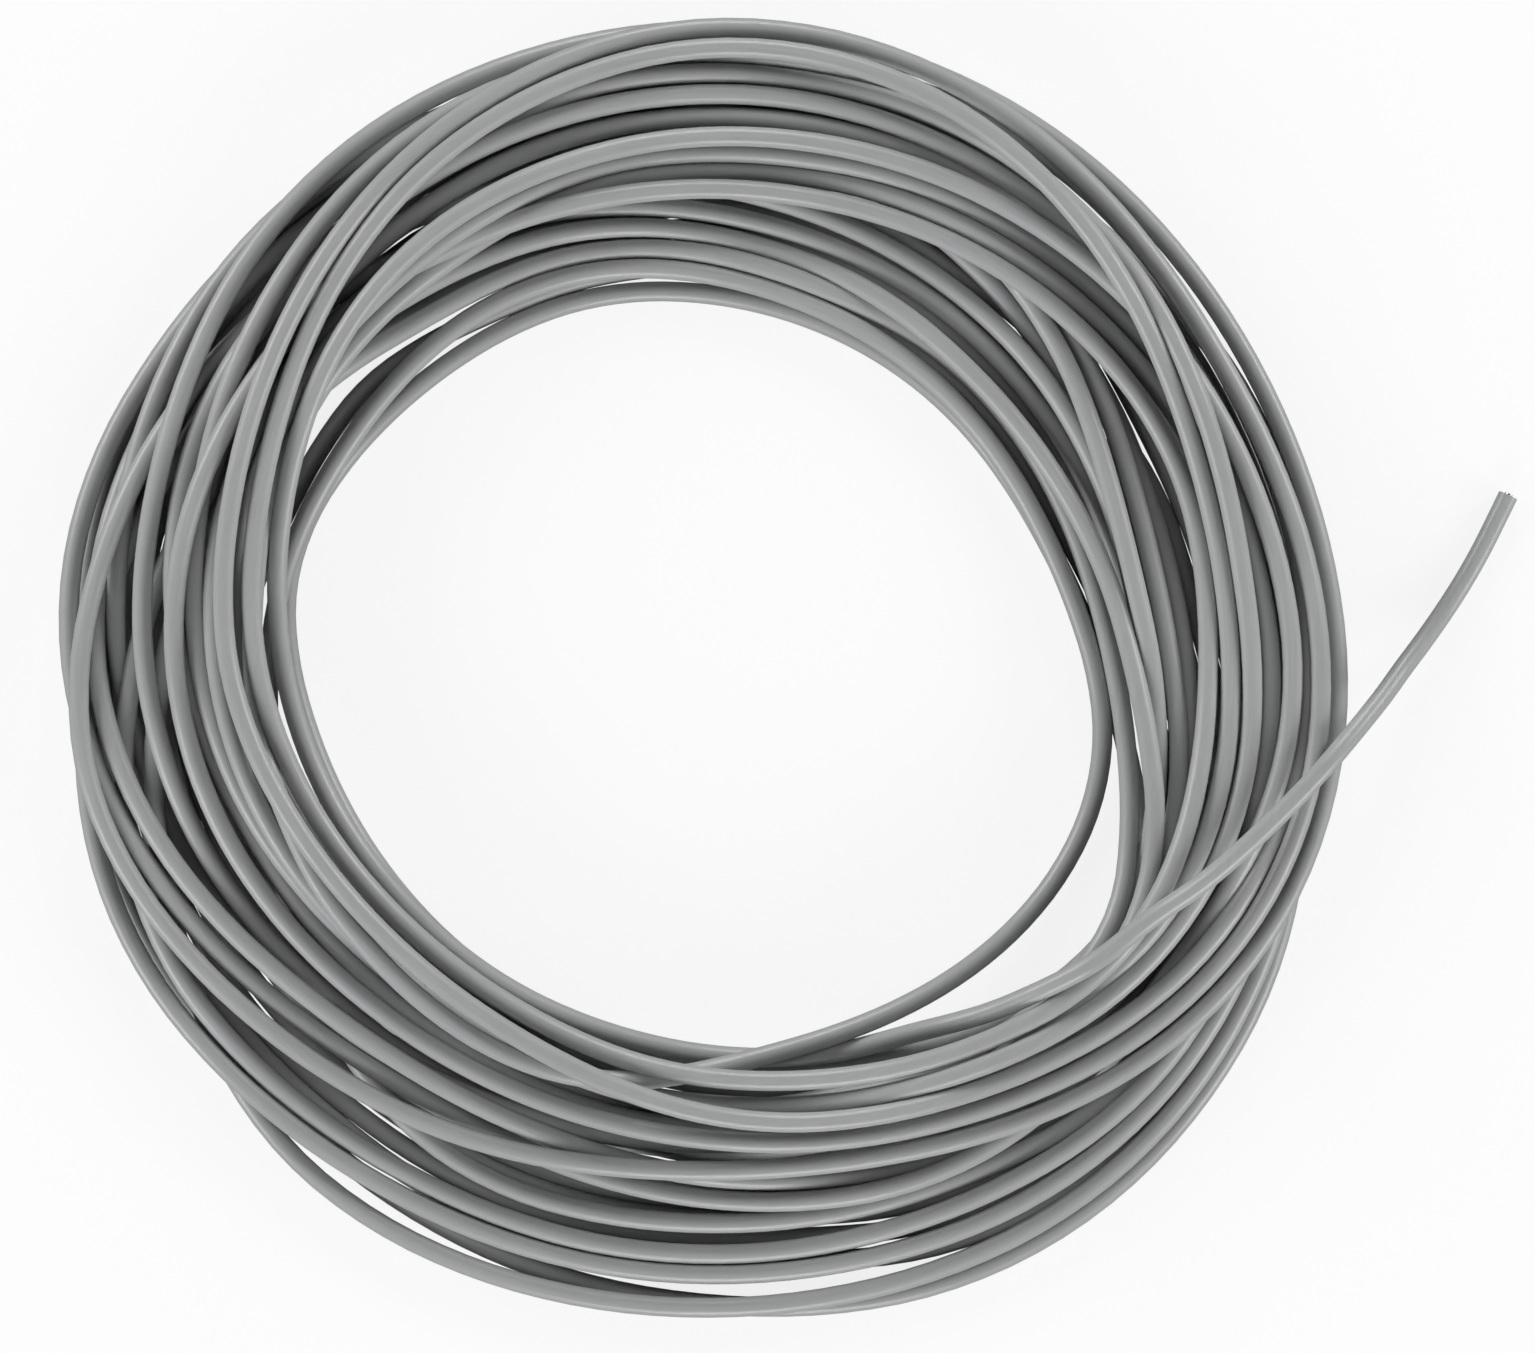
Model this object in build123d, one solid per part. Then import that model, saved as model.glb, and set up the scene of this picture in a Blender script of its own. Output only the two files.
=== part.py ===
from build123d import *
import os
from math import cos, pi, radians, sin, tan

# A loose hand-wound round coil of solid-core hookup wire, lying flat, with one free tail.
# Lengths are in millimetres and angles in degrees, anticlockwise from +X seen from above.
# Places are chosen about the coil's own centre. The finished pieces are moved at the end,
# so that the origin is the middle of the whole wire's footprint, on the surface it lies on.

# The wire
WIRE_DIAMETER = 1.6
CONDUCTOR_DIAMETER = 0.64

# The body of wound turns: the radius of the middle turns, and how far the turns fan out
MIDDLE_RADIUS = 40.0
RING_WIDTH = 22.0
COIL_HEIGHT = 6.8
OUTER_ROUNDING = 3.0
INNER_BEVEL = 1.8
OUTER_RADIUS = MIDDLE_RADIUS + RING_WIDTH / 2
INNER_RADIUS = MIDDLE_RADIUS - RING_WIDTH / 2

# The ring's two edges wander, because bundles of turns lie further out here and there.
# Each corner is an angle and how many wire diameters it lies outside that edge's radius.
OUTER_CORNERS = [
    (4, 1.2),
    (30, 0.5),
    (58, 0.65),
    (86, 1.75),
    (114, 0.6),
    (144, 0.35),
    (171, 1.9),
    (204, 1.0),
    (234, 1.25),
    (261, 1.35),
    (284, 1.6),
    (304, 2.9),
    (326, 1.6),
    (344, 0.9),
]
INNER_CORNERS = [
    (2, 1.2),
    (28, -0.2),
    (57, 0),
    (86, 0.5),
    (112, 1.4),
    (142, 1.9),
    (167, 4.2),
    (190, 1.6),
    (217, 0.95),
    (246, 0.85),
    (274, 1.2),
    (300, 2.5),
    (327, 7.7),
    (344, 3.3),
]

# The one turn that leaves the ring and crosses its hole, lying on the surface.
# Each point is an angle and how many wire diameters it lies outside the inner radius.
STRAY_ROUTE = [
    (1, 2.1),
    (350, 2.85),
    (338, 3.0),
    (325, 2.75),
    (310, 2.15),
    (294, 1.55),
    (279, 1.6),
]

# The tail comes up out of the turns, crosses over the ring and goes down to the surface.
# Each point is an angle, how far across the ring it is, from 0 at the inner radius to 1 at
# the outer, and the height of the wire's middle in coil heights and wire diameters.
TAIL_ROUTE = [
    (292, 0.14, 1, -0.9),
    (304, 0.235, 1, -0.6),
    (321, 0.45, 1, 0.8),
    (336, 0.64, 1, 0.8),
    (350, 0.905, 1, 0.7),
    (359.5, 1.225, 0.5, 0.1),
    (7.3, 1.5, 0, 0.5),
    (12.2, 1.695, 0, 0.5),
]

# Share of a straight run that the bend at each of its ends may take
BEND_SHARE = 0.45


def polar(angle, radius):
    """A point at an angle and radius about the coil's centre."""
    return radius * cos(radians(angle)), radius * sin(radians(angle))


def bend_radius(before, corner, after):
    """The largest bend at a corner that its two straight runs allow."""
    run_in = Vector(*corner) - Vector(*before)
    run_out = Vector(*after) - Vector(*corner)
    turn = run_in.get_angle(run_out)
    shorter = min(run_in.length, run_out.length)
    return BEND_SHARE * shorter / tan(radians(turn / 2))


def edge_face(radius, corners):
    """The area inside a closed edge of straight runs and tangent arcs."""
    points = [polar(angle, radius + out * WIRE_DIAMETER) for angle, out in corners]
    befores = points[-1:] + points[:-1]
    afters = points[1:] + points[:1]
    radii = [bend_radius(*trio) for trio in zip(befores, points, afters)]
    return make_face(FilletPolyline(*points, radius=radii, close=True))


def wound_turns():
    """All the wound turns as one closed solid, flat below, rounded outside and bevelled inside."""
    disc = extrude(edge_face(OUTER_RADIUS, OUTER_CORNERS), COIL_HEIGHT)
    disc = fillet(disc.faces().sort_by(Axis.Z)[-1].edges(), OUTER_ROUNDING)
    ring = disc - extrude(edge_face(INNER_RADIUS, INNER_CORNERS), COIL_HEIGHT)
    rim = ring.faces().sort_by(Axis.Z)[-1].inner_wires()[0].edges()
    return chamfer(rim, INNER_BEVEL)


def route_line(points, name):
    """Straight runs joined by tangent arcs through a list of points."""
    radii = [bend_radius(*trio) for trio in zip(points, points[1:], points[2:])]
    print(name, "bend radii:", [round(r, 1) for r in radii])
    return FilletPolyline(*points, radius=radii)


def along(line, section):
    """A section swept along a line."""
    start = Plane(origin=line @ 0, z_dir=line % 0)
    return sweep(start * section, path=line)


def compare_volume(name, solid, area, line):
    """Print a tube's volume beside its section times its length."""
    print(name, "volume", round(solid.volume, 2), "section x length", round(area * line.length, 2))


def largest(shape):
    """The biggest solid of a cut, which leaves out what the cut buries."""
    return shape.solids().sort_by(SortBy.VOLUME)[-1]


def stray_turn(coil):
    """The loose turn across the hole, ending where it meets the ring."""
    points = []
    for angle, out in STRAY_ROUTE:
        x, y = polar(angle, INNER_RADIUS + out * WIRE_DIAMETER)
        points.append((x, y, WIRE_DIAMETER / 2))
    line = route_line(points, "stray_turn")
    tube = along(line, Circle(WIRE_DIAMETER / 2))
    compare_volume("stray_turn", tube, pi * WIRE_DIAMETER**2 / 4, line)
    return largest(tube - coil)


def tail(coil):
    """The tail's insulation, and the end of the conductor in its bore at the cut."""
    points = []
    for angle, across, coils_up, wires_up in TAIL_ROUTE:
        x, y = polar(angle, INNER_RADIUS + across * RING_WIDTH)
        points.append((x, y, coils_up * COIL_HEIGHT + wires_up * WIRE_DIAMETER))
    line = route_line(points, "tail")
    rod = along(line, Circle(WIRE_DIAMETER / 2))
    compare_volume("tail", rod, pi * WIRE_DIAMETER**2 / 4, line)
    # The bore starts on the last run, past the reach of its bend, so it is straight.
    last_corner, tip = Vector(*points[-2]), Vector(*points[-1])
    bore_start = last_corner + (tip - last_corner) * BEND_SHARE
    core = along(Line(bore_start, tip), Circle(CONDUCTOR_DIAMETER / 2))
    return largest(rod - coil - core), core


def main():
    os.makedirs("parts", exist_ok=True)
    coil = wound_turns()
    insulation, conductor = tail(coil)
    pieces = {
        "coil_turns": coil,
        "stray_turn": stray_turn(coil),
        "tail_insulation": insulation,
        "tail_conductor": conductor,
    }
    box = Compound(list(pieces.values())).bounding_box()
    to_origin = Location((-box.center().X, -box.center().Y, -box.min.Z))
    print("coil centre in the frame:", to_origin.position)
    for name, piece in pieces.items():
        export_step(to_origin * piece, f"parts/{name}.step")


main()
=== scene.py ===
import math
import bpy
import numpy as np
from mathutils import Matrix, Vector


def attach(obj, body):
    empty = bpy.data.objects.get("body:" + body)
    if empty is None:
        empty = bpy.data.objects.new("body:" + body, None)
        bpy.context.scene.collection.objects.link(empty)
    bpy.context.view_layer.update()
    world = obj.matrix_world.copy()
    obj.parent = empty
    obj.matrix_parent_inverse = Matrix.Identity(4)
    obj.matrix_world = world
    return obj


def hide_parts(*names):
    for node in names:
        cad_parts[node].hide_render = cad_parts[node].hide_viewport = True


# A loose hand-wound coil of solid-core hookup wire, lying on a pale table, seen from above.
# Lengths are in metres and angles in degrees, anticlockwise from +X seen from above.
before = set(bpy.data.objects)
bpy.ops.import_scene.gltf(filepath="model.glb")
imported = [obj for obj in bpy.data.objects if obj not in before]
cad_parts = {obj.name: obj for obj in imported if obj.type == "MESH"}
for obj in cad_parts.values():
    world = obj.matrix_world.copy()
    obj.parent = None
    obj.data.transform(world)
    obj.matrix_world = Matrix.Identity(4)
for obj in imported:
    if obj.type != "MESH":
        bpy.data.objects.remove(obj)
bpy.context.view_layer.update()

MM = 0.001

# The wire
WIRE_DIAMETER = 1.6 * MM
CONDUCTOR_DIAMETER = 0.64 * MM
COIL_CENTRE = Vector((-6.79, 0.17, 0)) * MM

# The radii of the turns below are in twentieths of the wire's diameter.
READING = WIRE_DIAMETER / 20

# The turns that show, in the order in which the wire runs through them. Each has its rank in
# the pile at 0, 120 and 240 degrees, where the higher one passes over the lower one, and its
# radius at chosen angles. A turn ends where the next one starts.
SHOWN_TURNS = [
    ((3, 4.5, 10), [
        (0, 452), (15, 441), (30, 446), (41, 461), (52, 481), (58, 487), (78, 520), (103, 560),
        (132, 595), (158, 604), (165, 609), (172, 617), (180, 612), (188, 597), (195, 580),
        (204, 555), (216, 520), (222, 506), (230, 496), (240, 490), (252, 493), (264, 506),
        (281, 520), (289, 538), (297, 557), (310, 568), (330, 568), (347, 581),
    ]),
    ((12, 10, 3), [
        (0, 575), (6, 567), (15, 561), (25, 560), (38, 568), (50, 576), (62, 576), (80, 577),
        (90, 573), (100, 569), (112, 567), (120, 558), (135, 560), (150, 562), (160, 553),
        (170, 538), (180, 524), (184, 512), (190, 497), (196, 482), (204, 470), (212, 460),
        (224, 450), (234, 443), (250, 447), (260, 457), (272, 468), (290, 480), (305, 497),
        (320, 518), (332, 530), (340, 538), (345, 540), (350, 536), (355, 532),
    ]),
    ((14, 27, 22), [
        (0, 529), (6, 526), (13, 528), (20, 532), (25, 537), (30, 546), (35, 555), (40, 568),
        (45, 579), (50, 588), (55, 598), (60, 608), (65, 617), (72, 622), (80, 625), (86, 626),
        (90, 624), (95, 617), (100, 607), (110, 590), (115, 581), (120, 568), (125, 556),
        (130, 543), (135, 527), (140, 513), (150, 487), (156, 474), (163, 463), (170, 458),
        (180, 445), (190, 429), (200, 414), (210, 402), (220, 392), (230, 388), (240, 387),
        (250, 391), (260, 402), (270, 411), (280, 420), (286, 428), (300, 456), (311, 480),
        (317, 497), (323, 512), (329, 519), (336, 518), (345, 513), (350, 508),
    ]),
    ((19, 8, 6), [
        (0, 505), (5, 507), (10, 512), (16, 519), (22, 522), (28, 519), (35, 513), (42, 508),
        (50, 501), (60, 493), (70, 485), (80, 478), (92, 477), (102, 479), (112, 484), (122, 490),
        (132, 496), (145, 503), (157, 507), (165, 503), (175, 490), (188, 478), (205, 450),
        (218, 436), (232, 426), (248, 425), (260, 428), (268, 433), (276, 443), (288, 458),
        (299, 474), (303, 483), (310, 500), (316, 517), (322, 533), (327, 543), (331, 548),
        (335, 550), (342, 561), (350, 560),
    ]),
    ((19, 8, 2), [
        (0, 552), (5, 546), (10, 545), (15, 549), (20, 556), (30, 567), (35, 575), (40, 583),
        (45, 589), (50, 589), (56, 598), (64, 605), (75, 606), (90, 603), (100, 594), (110, 580),
        (125, 556), (140, 540), (155, 525), (170, 505), (185, 490), (200, 470), (215, 452),
        (230, 444), (250, 446), (270, 456), (290, 463), (305, 480), (318, 512), (328, 522),
        (338, 494), (350, 458),
    ]),
    ((2.5, 3.5, 17), [
        (0, 440), (15, 437), (30, 446), (40, 450), (47, 450), (55, 453), (63, 457), (72, 463),
        (79, 468), (88, 480), (100, 497), (112, 515), (125, 535), (137, 555), (148, 575),
        (158, 590), (168, 607), (178, 622), (186, 636), (190, 634), (194, 627), (200, 612),
        (205, 600), (211, 583), (216, 573), (222, 560), (230, 545), (236, 538), (242, 530),
        (248, 521), (254, 512), (260, 506), (270, 502), (280, 506), (286, 513), (293, 525),
        (300, 541), (306, 560), (310, 571), (314, 583), (321, 603), (329, 620), (335, 632),
        (341, 640), (348, 643),
    ]),
    ((17, 14, 5), [
        (0, 640), (5, 637), (12, 630), (20, 627), (35, 627), (45, 631), (52, 635), (70, 639),
        (90, 638), (100, 634), (107, 632), (118, 631), (126, 626), (135, 616), (142, 607),
        (150, 590), (156, 577), (163, 572), (172, 564), (180, 560), (188, 548), (195, 538),
        (204, 528), (212, 516), (222, 502), (235, 488), (250, 479), (262, 481), (275, 487),
        (290, 495), (305, 508), (318, 518), (330, 516), (342, 504), (352, 497),
    ]),
    ((5, 3, 2), [
        (0, 484), (6, 478), (14, 473), (25, 478), (35, 488), (45, 497), (60, 505), (80, 510),
        (100, 511), (120, 507), (135, 499), (150, 489), (162, 478), (175, 465), (188, 455),
        (200, 445), (215, 437), (230, 433), (245, 433), (258, 440), (270, 450), (285, 460),
        (300, 470), (315, 500), (326, 528), (336, 506), (348, 464),
    ]),
    ((2, 2.5, 9), [
        (0, 436), (12, 432), (22, 429), (30, 427), (42, 427), (50, 429), (60, 434), (70, 438),
        (80, 444), (86, 450), (92, 457), (98, 464), (108, 478), (120, 495), (132, 515),
        (145, 540), (158, 565), (170, 590), (180, 612), (190, 630), (197, 638), (204, 640),
        (210, 636), (216, 628), (224, 619), (232, 612), (240, 608), (255, 607), (270, 608),
        (280, 611), (290, 618), (300, 628), (308, 632), (316, 630), (326, 622), (340, 606),
        (350, 596),
    ]),
    ((9, 8, 12), [
        (0, 588), (12, 584), (25, 578), (40, 572), (50, 567), (57, 563), (64, 559), (72, 555),
        (80, 552), (90, 550), (100, 548), (110, 544), (118, 538), (126, 531), (138, 526),
        (150, 533), (165, 535), (178, 530), (184, 524), (191, 518), (199, 507), (206, 497),
        (214, 485), (222, 475), (230, 468), (240, 463), (250, 462), (262, 466), (272, 472),
        (280, 485), (286, 493), (292, 502), (297, 512), (300, 519), (306, 533), (310, 545),
        (314, 558), (320, 578), (324, 588), (331, 603), (337, 614), (344, 627), (350, 627),
    ]),
    ((22, 24, 18), [
        (0, 622), (5, 621), (10, 618), (15, 611), (20, 606), (25, 600), (30, 598), (36, 602),
        (41, 607), (45, 612), (50, 619), (55, 625), (60, 632), (66, 638), (72, 642), (80, 645),
        (90, 643), (95, 638), (100, 630), (110, 610), (115, 600), (120, 587), (130, 562),
        (140, 537), (150, 515), (157, 502), (165, 489), (173, 483), (180, 476), (188, 460),
        (196, 443), (204, 430), (213, 420), (221, 413), (230, 410), (242, 410), (250, 417),
        (256, 424), (262, 435), (268, 444), (274, 455), (281, 467), (289, 478), (297, 493),
        (303, 503), (311, 525), (317, 545), (324, 565), (330, 580), (337, 597), (343, 608),
        (352, 613),
    ]),
    ((13, 12, 3), [
        (0, 612), (10, 611), (20, 604), (30, 599), (40, 604), (48, 615), (56, 622), (66, 616),
        (76, 608), (88, 605), (96, 608), (102, 616), (107, 622), (113, 614), (121, 603),
        (129, 589), (135, 575), (142, 560), (150, 545), (160, 530), (170, 515), (180, 502),
        (190, 486), (205, 462), (218, 446), (232, 436), (250, 437), (268, 444), (285, 450),
        (295, 454), (305, 464), (315, 488), (325, 512), (332, 516), (340, 506), (346, 494),
        (352, 483), (356, 475),
    ]),
    ((8, 6.5, 5.5), [
        (0, 467), (6, 461), (13, 458), (20, 462), (25, 466), (30, 474), (34, 483), (38, 492),
        (42, 500), (50, 515), (60, 535), (72, 555), (85, 575), (98, 592), (110, 606), (122, 617),
        (132, 623), (140, 621), (150, 612), (160, 603), (170, 594), (180, 587), (186, 576),
        (191, 565), (198, 552), (206, 535), (214, 520), (224, 505), (235, 493), (250, 481),
        (265, 478), (280, 478), (295, 480), (310, 492), (322, 518), (330, 524), (338, 496),
        (348, 459), (355, 441),
    ]),
    ((8, 5, 7.5), [
        (0, 431), (5, 425), (12, 416), (20, 407), (28, 400), (38, 397), (48, 397), (58, 401),
        (70, 405), (80, 413), (87, 424), (93, 436), (99, 447), (105, 454), (115, 461), (124, 467),
        (130, 472), (140, 487), (150, 505), (160, 525), (170, 547), (180, 570), (190, 590),
        (200, 608), (205, 616), (210, 611), (218, 604), (228, 595), (236, 587), (244, 584),
        (256, 588), (270, 590), (282, 592), (292, 595), (300, 601), (307, 607), (314, 616),
        (320, 622), (328, 615), (338, 600), (350, 578),
    ]),
    ((9.2, 8.5, 16), [
        (0, 560), (12, 552), (24, 541), (32, 535), (40, 527), (50, 519), (60, 513), (72, 505),
        (85, 498), (100, 492), (115, 485), (130, 478), (142, 473), (152, 468), (162, 460),
        (175, 448), (190, 440), (205, 436), (220, 435), (235, 437), (247, 437), (254, 431),
        (260, 420), (265, 409), (270, 400), (276, 393), (284, 391), (292, 391), (300, 395),
        (308, 401), (316, 407), (325, 414), (335, 418), (345, 418), (350, 414), (355, 404),
    ]),
    ((14, 12, -2), [
        (0, 394), (5, 383), (10, 375), (15, 370), (21, 366), (28, 364), (40, 364), (50, 367),
        (60, 371), (70, 375), (80, 382), (88, 391), (94, 398), (101, 407), (108, 413), (115, 418),
        (122, 420), (130, 420), (138, 417), (148, 415), (156, 419), (163, 427), (172, 431),
        (180, 432), (188, 433), (196, 444), (206, 468), (222, 508), (236, 545), (244, 563),
        (250, 561), (256, 557), (266, 556), (275, 558), (285, 563), (293, 569), (300, 573),
        (306, 585), (312, 601), (318, 615), (330, 608), (345, 592),
    ]),
    ((9.7, 9, 4), [
        (0, 575), (12, 570), (25, 560), (34, 551), (40, 546), (50, 538), (60, 530), (68, 521),
        (74, 513), (80, 506), (88, 503), (100, 503), (110, 501), (118, 498), (126, 495),
        (138, 491), (150, 485), (162, 474), (175, 461), (188, 453), (198, 443), (208, 432),
        (222, 424), (240, 422), (255, 430), (270, 443), (285, 455), (300, 466), (312, 485),
        (322, 508), (328, 510), (333, 487), (338, 462), (342, 444), (346, 437), (351, 430),
        (356, 418),
    ]),
    ((7, 6, 6), [
        (0, 408), (5, 402), (12, 398), (22, 395), (35, 394), (50, 397), (60, 400), (70, 403),
        (78, 407), (86, 414), (94, 422), (103, 427), (112, 427), (120, 430), (126, 434),
        (130, 440), (135, 454), (139, 464), (143, 473), (150, 487), (160, 505), (172, 525),
        (184, 545), (198, 570), (211, 597), (219, 620), (223, 635), (227, 643), (232, 646),
        (240, 647), (250, 645), (262, 642), (272, 642), (280, 643), (290, 649), (300, 655),
        (308, 656), (316, 653), (324, 645), (334, 634), (345, 620),
    ]),
    ((3, 2, 1), [
        (0, 597), (8, 588), (15, 583), (25, 580), (35, 581), (45, 584), (60, 591), (75, 593),
        (88, 587), (95, 583), (104, 576), (112, 568), (125, 552), (140, 530), (150, 512),
        (165, 488), (180, 465), (195, 440), (210, 418), (225, 400), (240, 388), (255, 388),
        (268, 394), (280, 405), (292, 420), (303, 443), (313, 474), (322, 505), (329, 512),
        (336, 492), (343, 456), (351, 421),
    ]),
    ((1, 4, 2), [
        (0, 396), (8, 381), (16, 368), (25, 361), (40, 359), (50, 360), (60, 361), (70, 363),
        (80, 367), (90, 372), (100, 381), (108, 387), (118, 390), (128, 392), (136, 398),
        (142, 403), (148, 410), (156, 420), (164, 429), (168, 431), (172, 427), (176, 418),
        (182, 407), (190, 396), (198, 389), (206, 383), (215, 378), (225, 376), (240, 377),
        (252, 381), (262, 390), (272, 400), (285, 415), (295, 430), (305, 450), (315, 474),
        (325, 497), (331, 500), (336, 492), (340, 483), (345, 470), (350, 459), (355, 451),
    ]),
    ((7.5, 5.5, 13), [
        (0, 446), (6, 441), (13, 436), (20, 440), (25, 445), (30, 453), (34, 462), (38, 470),
        (41, 480), (44, 488), (48, 496), (54, 505), (66, 525), (78, 545), (90, 565), (103, 585),
        (115, 600), (130, 612), (142, 618), (150, 620), (153, 625), (157, 634), (162, 640),
        (170, 644), (176, 641), (181, 635), (186, 626), (192, 613), (199, 593), (206, 572),
        (212, 556), (218, 541), (224, 526), (230, 516), (238, 507), (246, 510), (254, 517),
        (260, 522), (266, 528), (272, 535), (280, 543), (286, 553), (291, 563), (300, 566),
        (312, 560), (324, 556), (331, 562), (336, 575), (341, 584), (346, 594), (351, 600),
    ]),
    ((12, 22, 6), [
        (0, 597), (6, 592), (13, 585), (20, 579), (28, 576), (36, 571), (44, 563), (50, 557),
        (58, 551), (66, 545), (74, 538), (82, 533), (92, 530), (102, 523), (112, 518), (120, 513),
        (126, 508), (132, 500), (138, 489), (145, 473), (150, 462), (157, 450), (165, 437),
        (172, 428), (180, 418), (190, 405), (200, 395), (210, 385), (220, 378), (230, 376),
        (242, 375), (252, 375), (260, 379), (266, 384), (272, 389), (278, 395), (285, 403),
        (292, 412), (300, 425), (305, 437), (310, 452), (315, 466), (320, 482), (324, 496),
        (331, 515), (336, 544), (342, 576), (348, 612), (354, 652),
    ]),
]

# The outermost turn, laid first. It shows only at the lower right.
OUTERMOST_TURN = ((-12, -11, -1), [
    (0, 596), (18, 613), (30, 608), (45, 588), (60, 585), (90, 590), (120, 596), (148, 606),
    (160, 622), (172, 624), (184, 612), (198, 620), (212, 622), (222, 606), (232, 606),
    (240, 614), (248, 620), (256, 627), (264, 633), (272, 637), (278, 646), (282, 655),
    (286, 662), (292, 668), (298, 670), (305, 672), (313, 668), (320, 660), (326, 652),
    (331, 645), (345, 620),
])

# The turns buried under the others: a flat spiral between two limits, given as radii at even
# angles, with the share of the way across at the start of each turn and at the end.
BURIED_INNER = [392, 380, 388, 398, 410, 480, 485, 465, 440, 440, 514, 551]
BURIED_OUTER = [588, 580, 585, 588, 600, 620, 615, 605, 595, 595, 660, 644]
BURIED_SHARES = [0.98, 0.83, 0.67, 0.51, 0.35, 0.2, 0.04, -0.25]
BURIED_TURNS = len(BURIED_SHARES) - 1

# The tail's points in millimetres, from where it comes up out of the turns, over the ring and
# down onto the table
TAIL = [
    (10.1, -29.1, 4.4),
    (13.2, -28.3, 5.4),
    (16.3, -27.3, 7.0),
    (19.3, -25.9, 8.9),
    (22.4, -24.3, 10.5),
    (24.9, -22.8, 11.2),
    (28.8, -19.6, 10.9),
    (32.6, -17.3, 9.5),
    (36.7, -13.9, 8.4),
    (40.8, -9.9, 8.0),
    (43.2, -7.3, 7.6),
    (45.6, -4.6, 6.0),
    (47.7, -2.2, 4.3),
    (49.3, -0.1, 2.9),
    (51.0, 2.0, 1.9),
    (52.7, 4.3, 1.1),
    (54.1, 6.4, 0.8),
    (55.4, 8.6, 0.8),
    (56.6, 10.9, 0.8),
    (58.1, 14.0, 0.8),
]

# The tail leaves the last turn at this angle.
TAIL_START = 297

# A whole turn, and the angles between its ranks and between the radii of the buried spiral
FULL_TURN = 360
RANK_STEP = 120
BURIED_STEP = 30

# The first buried turn's rank, from which the others rise by one each, and the rank at which
# the last turn ends
FIRST_BURIED_RANK = -10
TOP_RANK = 30

# The stations along a turn at which the pile is worked out, and the ones that shape the curve
STATIONS = 144
STATIONS_PER_POINT = 4
SOFTEN_PASSES = 5

# How firmly a strand keeps its chosen radius in each step
FIRM_SHOWN = 0.05
FIRM_BURIED = 0.004

# How the pile starts, high up, with this share of a diameter from one rank to the next
START_PITCH = 0.25
START_PASSES = 40

# How it is let down: steps, how far a strand sinks in each, and how far it may move at most
SETTLE_STEPS = 3200
SLOW_FROM_STEP = 0.8 * SETTLE_STEPS
SINKING = 0.03 * MM
SLOW_SINKING = 0.1 * SINKING
STRIDE = 0.06 * MM
END_PASSES = 3

# How stiff the wire is, seen from the side and from above
STIFF_IN_HEIGHT = 0.25
STIFF_IN_RADIUS = 0.15

# How strands that touch move apart: the share of an overlap that one step mends, how fast, as
# their ranks differ more, the lower one takes all of it sideways and the higher one upwards,
# and how near to each other across two strands in the wrong order are when they change places
MENDED_SHARE = 0.7
YIELD_SLOPE = 0.8
YIELD_LIMIT = 8
CHANGE_PLACES_WITHIN = 0.75 * WIRE_DIAMETER

# The least distance that is divided by
LEAST_DISTANCE = 1e-6

# How far away, and how strongly, the strands over a buried one draw it out of sight
COVER_REACH = 1.2 * WIRE_DIAMETER
COVER_PULL = 0.03

# The curve's steps from one point to the next, and its resolution round the wire
CURVE_STEPS = 4
ROUND_STEPS = 5

# The conductor's end: rings, each with its place along the wire from the cut and its share of
# the conductor's radius
CORE_SIDES = 24
CORE_RINGS = [(-2.0 * MM, 1.0), (0.01 * MM, 1.0), (0.03 * MM, 0.9)]

# Noise, each with its scale and detail, and the middle of its range, where most of it lies
LINE_NOISE = (4200, 2)
PATCH_NOISE = (90, 2)
GRAIN_NOISE = (2600, 3)
STREAK_NOISE = (9000, 2)
NOISE_RANGE = (0.3, 0.7)

# The vinyl: its tones, its gloss and its faint lines of extrusion, whose noise moves on by
# LINES_RUN in a radian along the turns
GREY_DARK = (0.35, 0.355, 0.357, 1)
GREY_LIGHT = (0.40, 0.405, 0.407, 1)
VINYL_ROUGHNESS = (0.3, 0.4)
VINYL_SPECULAR = 0.5
LINES_RUN = 1.6 * MM
LINES_SHARE = 0.5
LINES_STRENGTH = 0.12
LINES_DEPTH = 0.02 * MM

# The copper
COPPER_DARK = (0.55, 0.53, 0.50, 1)
COPPER_LIGHT = (0.78, 0.75, 0.70, 1)
COPPER_ROUGHNESS = (0.25, 0.4)

# The table: its tones, and how much of its white doesn't hang on the light
TABLE_HALF = 0.8
TABLE_TO_CAMERA = (0.95, 0.95, 0.94, 1)
TABLE_TO_WIRE = (0.18, 0.18, 0.18, 1)
TABLE_GLOW = 0.85
TABLE_ROUGHNESS = 0.9
TABLE_SPECULAR = 0.1
WHITE = (1, 1, 1, 1)

# The lamps: a ring of them round the table, and one over it
LAMPS = 6
LAMP_TURN = 30
LAMP_ELEVATION = 20
LAMP_DISTANCE = 0.9
LAMP_SIZE = 0.36
LAMP_POWER = 3.7
TOP_PLACE = (-0.08, 0.12, 0.9)
TOP_SIZE = 0.3
TOP_POWER = 0.1
TENT_STRENGTH = 0.01

# The camera looks straight down, its middle over this point, at the height of the turns
VIEW_CENTRE = Vector((-1.47, -0.67, 3.0)) * MM
VIEW_WIDTH = 122.8 * MM
VIEW_DISTANCE = 0.5
SENSOR = 36
NEAREST_SEEN = 0.01
FARTHEST_SEEN = 5


def softened(line, passes):
    """A line of values with its corners rounded off."""
    for _ in range(passes):
        inner = (line[:-2] + 2 * line[1:-1] + line[2:]) / 4
        line = np.concatenate([line[:1], inner, line[-1:]])
    return line


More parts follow.
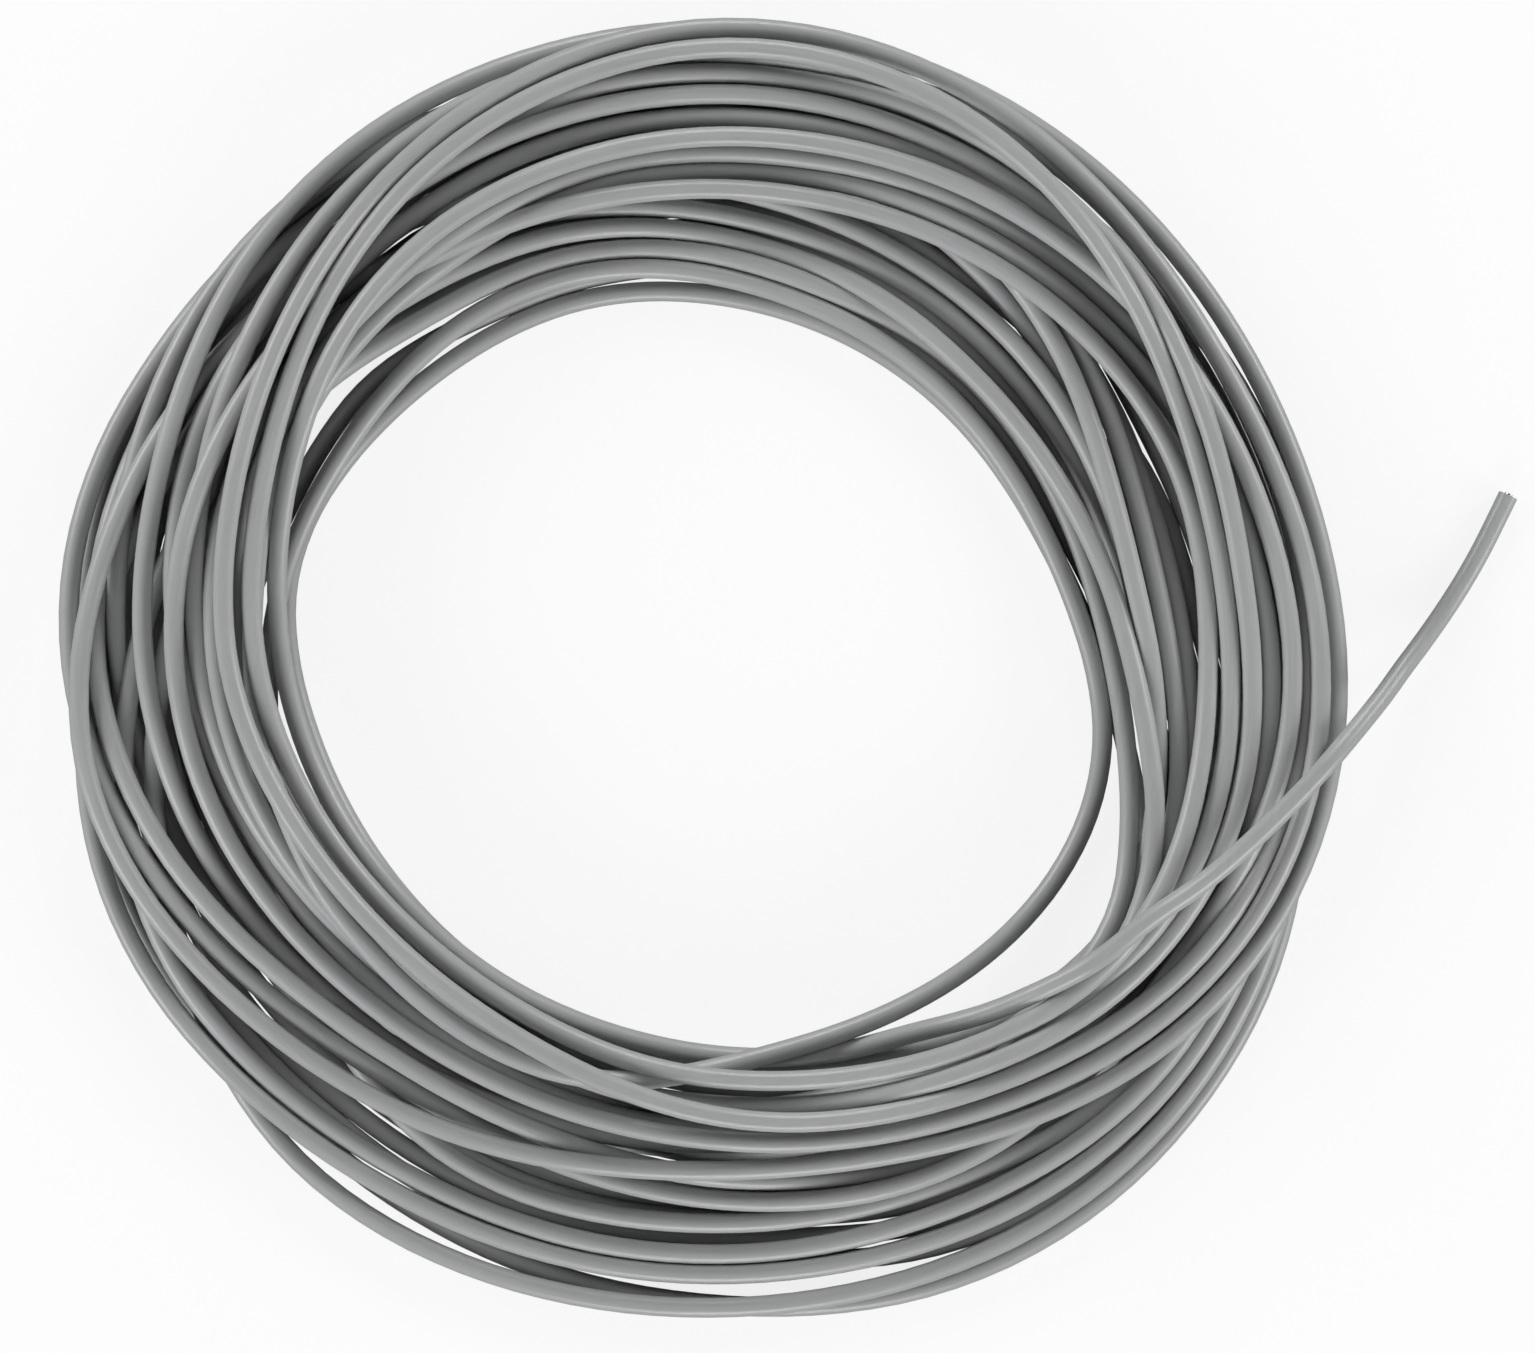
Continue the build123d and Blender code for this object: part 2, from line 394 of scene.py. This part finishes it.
def buried_turn(index):
    """The rank and places of one buried turn, counted from the outside in."""
    parts = len(BURIED_INNER)
    here, there = BURIED_SHARES[index:index + 2]
    places = []
    for part, (inner, outer) in enumerate(zip(BURIED_INNER, BURIED_OUTER)):
        share = here + (there - here) * part / parts
        places.append((part * BURIED_STEP, inner + share * (outer - inner)))
    rank = FIRST_BURIED_RANK + index
    return (rank, rank, rank), places


def winding_as_chosen():
    """Each station's chosen radius in metres, its rank and how firmly the radius is kept."""
    buried_turns = [buried_turn(index) for index in range(BURIED_TURNS)]
    turns = [OUTERMOST_TURN] + buried_turns + SHOWN_TURNS
    angles, radii, rank_angles, values = [], [], [], []
    for index, (ranks, places) in enumerate(turns):
        for angle, radius in places:
            angles.append(index * FULL_TURN + angle)
            radii.append(radius)
        for part, rank in enumerate(ranks):
            rank_angles.append(index * FULL_TURN + part * RANK_STEP)
            values.append(rank)
    rank_angles.append(len(turns) * FULL_TURN)
    values.append(TOP_RANK)
    stations = np.arange(len(turns) * STATIONS) * FULL_TURN / STATIONS
    chosen = softened(np.interp(stations, angles, radii) * READING, SOFTEN_PASSES)
    rank = np.interp(stations, rank_angles, values)
    buried = (stations >= FULL_TURN) & (stations < FULL_TURN * (1 + BURIED_TURNS))
    return chosen, rank, np.where(buried, FIRM_BURIED, FIRM_SHOWN)


def passing_order(chosen, rank):
    """For each turn, other turn and station, how far the first is to lie over the second.

    Two strands that touch keep one order for as long as they do.
    """
    turns = len(chosen) // STATIONS
    over = np.zeros((turns, turns, STATIONS))
    for apart in range(1, turns):
        shift = apart * STATIONS
        lead = rank[shift:] - rank[:-shift]
        touching = np.abs(chosen[shift:] - chosen[:-shift]) < WIRE_DIAMETER
        edges = np.flatnonzero(np.diff(touching.astype(int))) + 1
        for run in np.split(np.arange(len(lead)), edges):
            if touching[run[0]]:
                lead[run] = lead[run].mean() or 1
        for turn in range(turns - apart):
            part = lead[turn * STATIONS:(turn + 1) * STATIONS]
            over[turn + apart, turn] = part
            over[turn, turn + apart] = -part
    # the last turn ends where the tail starts
    past = round(TAIL_START * STATIONS / FULL_TURN)
    over[-1, :, past:] = 0
    over[:, -1, past:] = 0
    return over


def settle(chosen, rank, firm):
    """Let the turns down onto the table and each other. Returns their radii and heights."""
    turns = len(chosen) // STATIONS
    order = rank.reshape(turns, STATIONS)
    over = passing_order(chosen, rank)
    sign = np.sign(over)
    yields = 1 / (1 + np.exp(np.clip(over, -YIELD_LIMIT, YIELD_LIMIT) * YIELD_SLOPE))
    buried = (firm == FIRM_BURIED).reshape(turns, STATIONS)
    radius = chosen.copy()
    place = order.argsort(axis=0).argsort(axis=0).reshape(-1)
    height = softened((0.5 + START_PITCH * place) * WIRE_DIAMETER, START_PASSES)
    for step in range(SETTLE_STEPS):
        height = height - (SINKING if step < SLOW_FROM_STEP else SLOW_SINKING)
        height[1:-1] += STIFF_IN_HEIGHT * (height[:-2] - 2 * height[1:-1] + height[2:])
        radius[1:-1] += STIFF_IN_RADIUS * (radius[:-2] - 2 * radius[1:-1] + radius[2:])
        # what lies higher is nearer to the camera and looks farther out
        seen = chosen * (1 - (height - VIEW_CENTRE.z) / VIEW_DISTANCE)
        radius += firm * (seen - radius)
        r = radius.reshape(turns, STATIONS)
        z = height.reshape(turns, STATIONS)
        across = r[:, None, :] - r[None, :, :]
        up = z[:, None, :] - z[None, :, :]
        apart = np.hypot(across, up)
        push = np.where((sign != 0) & (apart < WIRE_DIAMETER), WIRE_DIAMETER - apart, 0)
        safe = np.maximum(apart, LEAST_DISTANCE)
        crossed = (np.abs(across) < CHANGE_PLACES_WITHIN) & (up * sign < 0)
        wanted = np.sqrt(np.maximum(WIRE_DIAMETER**2 - across**2, 0))
        lift = np.where(crossed, wanted * sign - up, push * up / safe)
        shove = np.where(crossed, 0, push * across / safe)
        aside = MENDED_SHARE * (shove * yields).sum(axis=1)
        r = r + np.clip(aside, -STRIDE, STRIDE)
        # a buried strand lies where it is seen least between the ones over it
        cover = np.clip(COVER_REACH - np.abs(across), 0, None) * np.sign(across)
        r = r + buried * COVER_PULL * cover.sum(axis=1)
        upwards = MENDED_SHARE * (lift * (1 - yields)).sum(axis=1)
        z = z + np.clip(upwards, -STRIDE, STRIDE)
        height = np.maximum(z.reshape(-1), WIRE_DIAMETER / 2)
        radius = r.reshape(-1)
    return softened(radius, END_PASSES), softened(height, END_PASSES)


def winding_points():
    """The wire's points from its buried end to where the tail starts."""
    radius, height = settle(*winding_as_chosen())
    last = len(radius) - STATIONS + round(TAIL_START * STATIONS / FULL_TURN)
    # the curve passes inside its points, so they stand a little farther out
    rounding = 1 / math.cos(math.pi * STATIONS_PER_POINT / STATIONS) ** 0.5
    points = []
    for station in range(0, last, STATIONS_PER_POINT):
        angle = 2 * math.pi * station / STATIONS
        out = radius[station] * rounding
        spoke = Vector((math.cos(angle), math.sin(angle), 0))
        points.append(COIL_CENTRE + spoke * out + Vector((0, 0, height[station])))
    return points


def add_object(name, data):
    """A new object in the scene."""
    made = bpy.data.objects.new(name, data)
    bpy.context.collection.objects.link(made)
    return made


def wire_curve(points):
    """The insulated wire, one smooth open curve of its real thickness, its end and direction."""
    curve = bpy.data.curves.new("insulated_wire", "CURVE")
    curve.dimensions = "3D"
    line = curve.splines.new("NURBS")
    line.points.add(len(points) - 1)
    for point, place in zip(line.points, points):
        point.co = (*place, 1)
    line.order_u = 3
    line.use_endpoint_u = True
    line.resolution_u = CURVE_STEPS
    wire = add_object("insulated_wire", curve)
    # the end is read from the bare curve, before it gets its thickness
    middle = bpy.data.meshes.new_from_object(wire)
    before_end, end = [vertex.co.copy() for vertex in middle.vertices[-2:]]
    bpy.data.meshes.remove(middle)
    curve.bevel_depth = WIRE_DIAMETER / 2
    curve.bevel_resolution = ROUND_STEPS
    curve.use_fill_caps = True
    return wire, end, (end - before_end).normalized()


def cut_conductor(tip, direction):
    """The solid conductor, just proud of the cut insulation."""
    mesh = bpy.data.meshes.new("cut_conductor")
    turn = direction.to_track_quat("Z", "Y")
    points, faces = [], []
    for along, wide in CORE_RINGS:
        for side in range(CORE_SIDES):
            angle = 2 * math.pi * side / CORE_SIDES
            out = CONDUCTOR_DIAMETER / 2 * wide
            place = Vector((out * math.cos(angle), out * math.sin(angle), along))
            points.append(tip + turn @ place)
    last = len(CORE_RINGS) - 1
    for ring in range(last):
        for side in range(CORE_SIDES):
            a = ring * CORE_SIDES + side
            b = ring * CORE_SIDES + (side + 1) % CORE_SIDES
            faces.append((a, b, b + CORE_SIDES, a + CORE_SIDES))
    faces.append(tuple(range(CORE_SIDES))[::-1])
    faces.append(tuple(range(last * CORE_SIDES, (last + 1) * CORE_SIDES)))
    mesh.from_pydata(points, [], faces)
    return add_object("cut_conductor", mesh)


def new_material(name):
    """A material, its node tree and its shader."""
    material = bpy.data.materials.new(name)
    material.use_nodes = True
    tree = material.node_tree
    return material, tree, tree.nodes["Principled BSDF"]


def noise(tree, vector, scale, detail):
    """Smooth noise of one size at a place."""
    made = tree.nodes.new("ShaderNodeTexNoise")
    made.inputs["Scale"].default_value = scale
    made.inputs["Detail"].default_value = detail
    tree.links.new(vector, made.inputs["Vector"])
    return made.outputs["Fac"]


def mapped(tree, value, low, high):
    """The middle of the noise's range spread over another range."""
    made = tree.nodes.new("ShaderNodeMapRange")
    made.inputs["From Min"].default_value = NOISE_RANGE[0]
    made.inputs["From Max"].default_value = NOISE_RANGE[1]
    made.inputs["To Min"].default_value = low
    made.inputs["To Max"].default_value = high
    tree.links.new(value, made.inputs["Value"])
    return made.outputs["Result"]


def scaled(tree, value, factor):
    """A value times a fixed factor."""
    made = tree.nodes.new("ShaderNodeMath")
    made.operation = "MULTIPLY"
    made.inputs[1].default_value = factor
    tree.links.new(value, made.inputs[0])
    return made.outputs[0]


def tone_between(tree, factor, one, other):
    """A colour that goes from one tone to another as the factor goes from 0 to 1."""
    made = tree.nodes.new("ShaderNodeMix")
    made.data_type = "RGBA"
    made.inputs["A"].default_value = one
    made.inputs["B"].default_value = other
    tree.links.new(factor, made.inputs["Factor"])
    return made.outputs["Result"]


def along_the_turns(tree, place):
    """A vector that runs slowly along the turns and quickly across them."""
    move = tree.nodes.new("ShaderNodeVectorMath")
    move.operation = "SUBTRACT"
    move.inputs[1].default_value = COIL_CENTRE
    parts = tree.nodes.new("ShaderNodeSeparateXYZ")
    turn = tree.nodes.new("ShaderNodeMath")
    turn.operation = "ARCTAN2"
    flat = tree.nodes.new("ShaderNodeVectorMath")
    flat.operation = "MULTIPLY"
    flat.inputs[1].default_value = (1, 1, 0)
    out = tree.nodes.new("ShaderNodeVectorMath")
    out.operation = "LENGTH"
    joined = tree.nodes.new("ShaderNodeCombineXYZ")
    tree.links.new(place, move.inputs[0])
    tree.links.new(move.outputs[0], parts.inputs[0])
    tree.links.new(parts.outputs["Y"], turn.inputs[0])
    tree.links.new(parts.outputs["X"], turn.inputs[1])
    tree.links.new(move.outputs[0], flat.inputs[0])
    tree.links.new(flat.outputs[0], out.inputs[0])
    tree.links.new(out.outputs["Value"], joined.inputs["X"])
    tree.links.new(scaled(tree, turn.outputs[0], LINES_RUN), joined.inputs["Y"])
    tree.links.new(parts.outputs["Z"], joined.inputs["Z"])
    return joined.outputs[0]


def insulation_material():
    """Satin mid-grey vinyl with the faint lengthwise lines of extrusion."""
    material, tree, shader = new_material("grey_insulation")
    place = tree.nodes.new("ShaderNodeTexCoord").outputs["Object"]
    lines = noise(tree, along_the_turns(tree, place), *LINE_NOISE)
    patches = noise(tree, place, *PATCH_NOISE)
    grain = noise(tree, place, *GRAIN_NOISE)
    both = tree.nodes.new("ShaderNodeMath")
    both.operation = "MULTIPLY_ADD"
    both.inputs[1].default_value = LINES_SHARE
    tree.links.new(mapped(tree, lines, 0, 1), both.inputs[0])
    tree.links.new(mapped(tree, patches, 0, 1 - LINES_SHARE), both.inputs[2])
    tone = tone_between(tree, both.outputs[0], GREY_DARK, GREY_LIGHT)
    tree.links.new(tone, shader.inputs["Base Color"])
    tree.links.new(mapped(tree, grain, *VINYL_ROUGHNESS), shader.inputs["Roughness"])
    shader.inputs["Specular IOR Level"].default_value = VINYL_SPECULAR
    bump = tree.nodes.new("ShaderNodeBump")
    bump.inputs["Strength"].default_value = LINES_STRENGTH
    bump.inputs["Distance"].default_value = LINES_DEPTH
    tree.links.new(lines, bump.inputs["Height"])
    tree.links.new(bump.outputs["Normal"], shader.inputs["Normal"])
    return material


def copper_material():
    """Tinned copper, a little dull, with the streaks of the cutter."""
    material, tree, shader = new_material("tinned_copper")
    place = tree.nodes.new("ShaderNodeTexCoord").outputs["Object"]
    streaks = noise(tree, place, *STREAK_NOISE)
    tone = tone_between(tree, mapped(tree, streaks, 0, 1), COPPER_DARK, COPPER_LIGHT)
    tree.links.new(tone, shader.inputs["Base Color"])
    tree.links.new(mapped(tree, streaks, *COPPER_ROUGHNESS), shader.inputs["Roughness"])
    shader.inputs["Metallic"].default_value = 1
    return material


def white_table_material():
    """A matt top that keeps its shadows, white to the camera and grey to the wire."""
    material, tree, shader = new_material("white_table")
    shader.inputs["Roughness"].default_value = TABLE_ROUGHNESS
    shader.inputs["Specular IOR Level"].default_value = TABLE_SPECULAR
    camera_ray = tree.nodes.new("ShaderNodeLightPath").outputs["Is Camera Ray"]
    tone = tone_between(tree, camera_ray, TABLE_TO_WIRE, TABLE_TO_CAMERA)
    tree.links.new(tone, shader.inputs["Base Color"])
    glow = tree.nodes.new("ShaderNodeEmission")
    glow.inputs["Color"].default_value = WHITE
    glow.inputs["Strength"].default_value = 1
    mix = tree.nodes.new("ShaderNodeMixShader")
    tree.links.new(scaled(tree, camera_ray, TABLE_GLOW), mix.inputs["Fac"])
    tree.links.new(shader.outputs["BSDF"], mix.inputs[1])
    tree.links.new(glow.outputs["Emission"], mix.inputs[2])
    tree.links.new(mix.outputs["Shader"], tree.nodes["Material Output"].inputs["Surface"])
    return material


def table_top():
    """A white table top that keeps the soft shadow of the wire."""
    half = TABLE_HALF
    corners = [(-half, -half, 0), (half, -half, 0), (half, half, 0), (-half, half, 0)]
    mesh = bpy.data.meshes.new("table_top")
    mesh.from_pydata(corners, [], [(0, 1, 2, 3)])
    mesh.materials.append(white_table_material())
    add_object("table_top", mesh)


def lamp(name, place, size, power):
    """A square soft lamp that shines at the coil."""
    light = bpy.data.lights.new(name, "AREA")
    light.size = size
    light.energy = power
    lit = add_object(name, light)
    lit.location = place
    lit.rotation_mode = "QUATERNION"
    lit.rotation_quaternion = (-Vector(place)).to_track_quat("-Z", "Y")


def studio_light():
    """Soft lamps all round and a dim top, as in a light tent with a hole for the camera."""
    world = bpy.data.worlds.new("tent")
    world.use_nodes = True
    tree = world.node_tree
    ground = tree.nodes["Background"]
    ground.inputs["Color"].default_value = WHITE
    # white to the camera, and dim to the wire
    path = tree.nodes.new("ShaderNodeLightPath")
    strength = tree.nodes.new("ShaderNodeMapRange")
    strength.inputs["To Min"].default_value = TENT_STRENGTH
    strength.inputs["To Max"].default_value = 1
    tree.links.new(path.outputs["Is Camera Ray"], strength.inputs["Value"])
    tree.links.new(strength.outputs["Result"], ground.inputs["Strength"])
    bpy.context.scene.world = world
    low = math.radians(LAMP_ELEVATION)
    for index in range(LAMPS):
        angle = math.radians(LAMP_TURN + FULL_TURN * index / LAMPS)
        place = (
            LAMP_DISTANCE * math.cos(angle) * math.cos(low),
            LAMP_DISTANCE * math.sin(angle) * math.cos(low),
            LAMP_DISTANCE * math.sin(low),
        )
        lamp("side_lamp_%d" % index, place, LAMP_SIZE, LAMP_POWER)
    lamp("top_lamp", TOP_PLACE, TOP_SIZE, TOP_POWER)


def overhead_camera():
    """The camera straight over the coil, with the photograph's framing."""
    camera = bpy.data.cameras.new("overhead")
    camera.sensor_width = SENSOR
    camera.lens = SENSOR * VIEW_DISTANCE / VIEW_WIDTH
    camera.clip_start = NEAREST_SEEN
    camera.clip_end = FARTHEST_SEEN
    seen = add_object("overhead", camera)
    seen.location = VIEW_CENTRE + Vector((0, 0, VIEW_DISTANCE))
    bpy.context.scene.camera = seen


def main():
    """Build the camera, the wire with its conductor, the table and the light."""
    overhead_camera()
    winding = winding_points()
    tail = [Vector(place) * MM for place in TAIL]
    wire, end, direction = wire_curve(winding + tail)
    wire.data.materials.append(insulation_material())
    core = cut_conductor(end, direction)
    core.data.materials.append(copper_material())
    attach(wire, "root")
    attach(core, "root")
    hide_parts("coil_turns", "stray_turn", "tail_insulation")
    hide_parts("tail_conductor")
    table_top()
    studio_light()
    bpy.context.scene.view_settings.view_transform = "Standard"


main()
